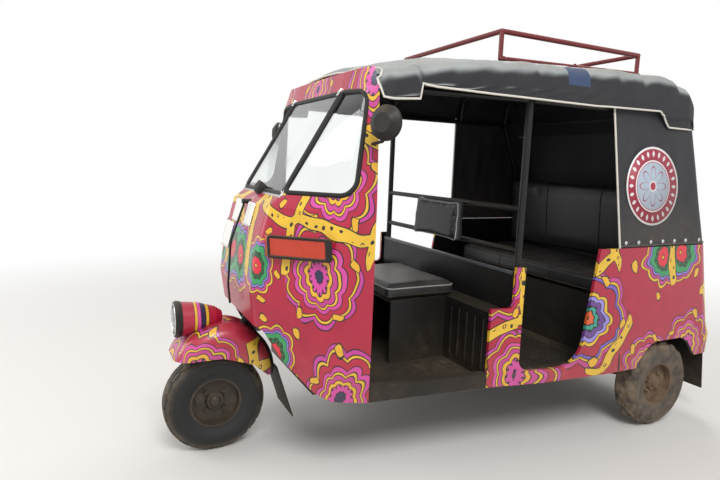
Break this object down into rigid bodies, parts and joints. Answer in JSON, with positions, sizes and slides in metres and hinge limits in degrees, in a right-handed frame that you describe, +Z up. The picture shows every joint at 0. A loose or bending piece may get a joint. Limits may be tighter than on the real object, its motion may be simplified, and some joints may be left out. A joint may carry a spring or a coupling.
{
  "type": "auto rickshaw",
  "caption": "Three-wheeled passenger vehicle with a canvas hood, open sides, steered front wheel under a mudguard with a headlamp, rear engine hatch and roof rack.",
  "frame": {"origin": "on the ground, at the bottom centre of the bounding box", "axes": "+X forward, +Y to the vehicle's left, +Z up"},
  "size_m": [2.635, 1.2906, 1.787],
  "materials": {
    "body_paint": "hand-painted gloss enamel",
    "canvas": "coated canvas",
    "tyre_rubber": "dusty tread rubber",
    "rim_paint": "worn black enamel with rust",
    "black_steel": "black enamel",
    "rack_paint": "red enamel",
    "black_plastic": "moulded",
    "flap_rubber": "matt",
    "seat_vinyl": "coated cloth",
    "window_glass": "clear",
    "lamp_glass": "fluted",
    "amber_lens": "moulded lens",
    "red_lens": "moulded lens",
    "cast_engine": "cast",
    "dark_exhaust": "heat-stained"
  },
  "bodies": {
    "root": {"front_cowl": "body_paint", "windscreen_frame": "body_paint", "cowl_glass": "window_glass", "indicator_lamps": "amber_lens", "mirrors": "black_plastic", "wiper": "black_steel", "dashboard": "black_plastic", "chassis_frame": "black_steel", "floor_pan": "black_steel", "bulkhead": "black_steel", "body_side_left": "body_paint", "body_side_right": "body_paint", "rear_panel": "body_paint", "rear_bumper": "black_steel", "tail_lamps": "red_lens", "rear_mudflaps": "flap_rubber", "partition": "black_steel", "driver_seat_stand": "black_steel", "driver_seat": "seat_vinyl", "driver_backrest": "seat_vinyl", "centre_frame": "black_steel", "roof_frame": "black_steel", "rear_inner_sheet": "black_steel", "passenger_seat": "seat_vinyl", "passenger_backrest": "seat_vinyl", "canopy_roof": "canvas", "canopy_rear": "canvas", "roof_rack": "rack_paint", "engine_block": "cast_engine", "rear_arms": "black_steel", "rear_shocks": "black_steel", "drive_shafts": "black_steel", "silencer": "dark_exhaust"},
    "steering": {"steering_fork": "black_steel", "handlebar": "black_steel", "front_link": "black_steel", "front_shock": "black_steel", "front_mudguard": "body_paint", "headlamp_shell": "body_paint", "headlamp_rim": "black_plastic", "headlamp_lens": "lamp_glass", "front_flap": "flap_rubber"},
    "front_wheel": {"front_tyre": "tyre_rubber", "front_rim": "rim_paint"},
    "rear_wheel_left": {"rear_left_tyre": "tyre_rubber", "rear_left_rim": "rim_paint"},
    "rear_wheel_right": {"rear_right_tyre": "tyre_rubber", "rear_right_rim": "rim_paint"},
    "hatch": {"engine_hatch": "body_paint"}
  },
  "joints": [
    {"name": "steering", "type": "hinge", "parent": "root", "child": "steering", "pos_m": [0.96, 0, 0.6], "axis": [-0.309, 0, 0.9511], "range_deg": [-38, 38]},
    {"name": "front_wheel_spin", "type": "hinge", "parent": "steering", "child": "front_wheel", "pos_m": [1.1095, 0, 0.208], "axis": [0, 1, 0], "continuous": true},
    {"name": "rear_wheel_left_spin", "type": "hinge", "parent": "root", "child": "rear_wheel_left", "pos_m": [-0.8905, 0.575, 0.208], "axis": [0, 1, 0], "continuous": true},
    {"name": "rear_wheel_right_spin", "type": "hinge", "parent": "root", "child": "rear_wheel_right", "pos_m": [-0.8905, -0.575, 0.208], "axis": [0, 1, 0], "continuous": true},
    {"name": "engine_hatch_hinge", "type": "hinge", "parent": "root", "child": "hatch", "pos_m": [-1.1976, 0, 0.802], "axis": [0, 1, 0], "range_deg": [0, 70]}
  ]
}
